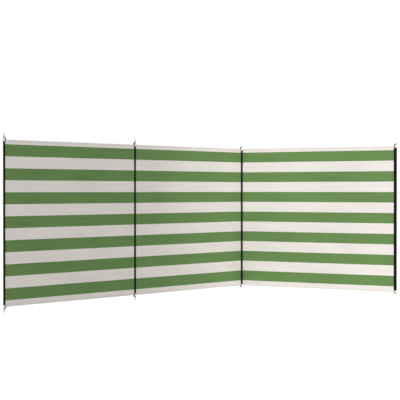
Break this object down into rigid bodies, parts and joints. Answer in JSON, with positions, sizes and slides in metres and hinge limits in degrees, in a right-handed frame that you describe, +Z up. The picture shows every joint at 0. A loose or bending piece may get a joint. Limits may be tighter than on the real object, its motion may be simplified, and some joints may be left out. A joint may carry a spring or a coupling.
{
  "type": "beach windbreak",
  "caption": "Striped cloth windbreak stretched between planted steel poles in an L-shaped run, with dark pole sleeves and elastic loops that keep the cloth taut.",
  "frame": {"origin": "centre of the flat tip of the corner pole's ground spike", "axes": "+Z up the poles, +X along the long run towards the corner, -Y along the short run and out of the sheltered face of the long run"},
  "size_m": [3.6196, 1.8196, 1.5203],
  "materials": {
    "striped_cloth": "plain woven polyester with cream and green stripes",
    "sleeve_cloth": "black woven polyester",
    "pole_steel": "bright zinc-plated tube",
    "end_fitting": "moulded off-white plastic",
    "elastic_cord": "braided black elastic cord"
  },
  "bodies": {
    "root": {"left_panel": "striped_cloth", "middle_panel": "striped_cloth", "right_panel": "striped_cloth", "left_end_pole": "pole_steel", "left_end_sleeve": "sleeve_cloth", "left_end_top_cap": "end_fitting", "left_end_ground_spike": "end_fitting", "left_end_top_loop": "elastic_cord", "left_end_bottom_loop": "elastic_cord", "left_middle_pole": "pole_steel", "left_middle_sleeve": "sleeve_cloth", "left_middle_top_cap": "end_fitting", "left_middle_ground_spike": "end_fitting", "left_middle_top_loop": "elastic_cord", "left_middle_bottom_loop": "elastic_cord", "corner_pole": "pole_steel", "corner_sleeve": "sleeve_cloth", "corner_top_cap": "end_fitting", "corner_ground_spike": "end_fitting", "corner_top_loop": "elastic_cord", "corner_bottom_loop": "elastic_cord", "right_end_pole": "pole_steel", "right_end_sleeve": "sleeve_cloth", "right_end_top_cap": "end_fitting", "right_end_ground_spike": "end_fitting", "right_end_top_loop": "elastic_cord", "right_end_bottom_loop": "elastic_cord"}
  },
  "joints": []
}
